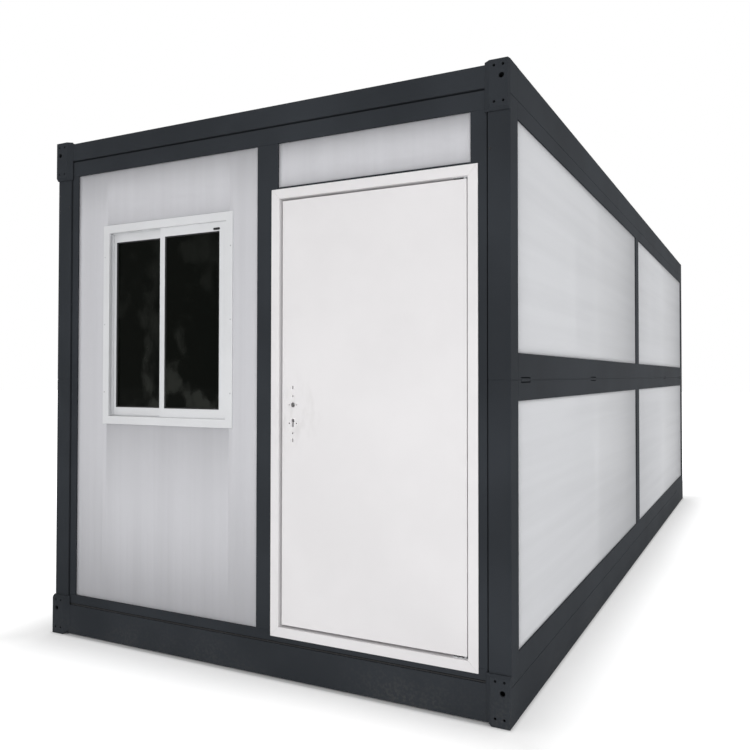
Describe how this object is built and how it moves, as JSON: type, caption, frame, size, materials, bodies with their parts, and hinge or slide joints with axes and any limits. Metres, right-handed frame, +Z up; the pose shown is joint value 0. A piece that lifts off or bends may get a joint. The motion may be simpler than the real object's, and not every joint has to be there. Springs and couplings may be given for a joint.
{
  "type": "folding container house",
  "caption": "Folding steel-framed container house with insulated wall boards, side walls split and hinged at half height, a sliding window and a swing door in a hinged front wall.",
  "frame": {"origin": "centre of the footprint at ground level, under the corner fittings", "axes": "+Z up, +Y from the front wall with the door towards the rear wall along the length, +X to the right seen from the front"},
  "size_m": [2.48, 5.9, 2.54],
  "materials": {
    "steel_frame": "satin anthracite powder coat",
    "galvanised": "galvanised",
    "wall_board": "white coated steel skin, semi gloss",
    "door_white": "white powder coat",
    "window_trim": "white coated extrusion",
    "pane": "dark float glass",
    "seal": "matt",
    "floor_board": "cement-bonded board",
    "ceiling_board": "white panel",
    "roof_sheet": "painted ribbed sheet"
  },
  "bodies": {
    "frame": {"base_side_beams": "steel_frame", "base_end_beams": "steel_frame", "floor_joists": "galvanised", "floor_board": "floor_board", "bottom_front_fittings": "steel_frame", "bottom_rear_fittings": "steel_frame", "top_front_fittings": "steel_frame", "top_rear_fittings": "steel_frame", "lower_posts_left": "steel_frame", "lower_rails_left": "steel_frame", "lower_boards_left": "wall_board", "upper_posts_left": "steel_frame", "upper_rails_left": "steel_frame", "upper_boards_left": "wall_board", "lower_posts_right": "steel_frame", "lower_rails_right": "steel_frame", "lower_boards_right": "wall_board", "upper_posts_right": "steel_frame", "upper_rails_right": "steel_frame", "upper_boards_right": "wall_board", "fold_hinges_left": "steel_frame", "fold_hinges_right": "steel_frame", "roof_side_beams": "steel_frame", "roof_end_beams": "steel_frame", "roof_joists": "galvanised", "roof_sheet": "roof_sheet", "ceiling": "ceiling_board", "rear_wall_rails": "steel_frame", "rear_wall_stiles": "steel_frame", "rear_wall_boards": "wall_board", "wall_hinge_pins": "steel_frame"},
    "front_wall": {"wall_hinge_knuckles": "steel_frame", "front_wall_rails": "steel_frame", "front_wall_stiles": "steel_frame", "window_board": "wall_board", "transom_board": "wall_board", "window_frame": "window_trim", "window_sashes": "window_trim", "window_glass": "pane", "door_jambs": "door_white", "door_head_sill": "door_white", "door_seal": "seal", "door_hinge_pins": "galvanised"},
    "door": {"door_leaf": "door_white", "door_hinge_knuckles": "galvanised"}
  },
  "joints": [
    {"name": "front_wall_swing", "type": "hinge", "parent": "frame", "child": "front_wall", "pos_m": [0, -2.832, 2.433], "axis": [1, 0, 0], "range_deg": [0, 90]},
    {"name": "door_swing", "type": "hinge", "parent": "front_wall", "child": "door", "pos_m": [1.045, -2.907, 1.1675], "axis": [0, 0, 1], "range_deg": [0, 90]}
  ]
}
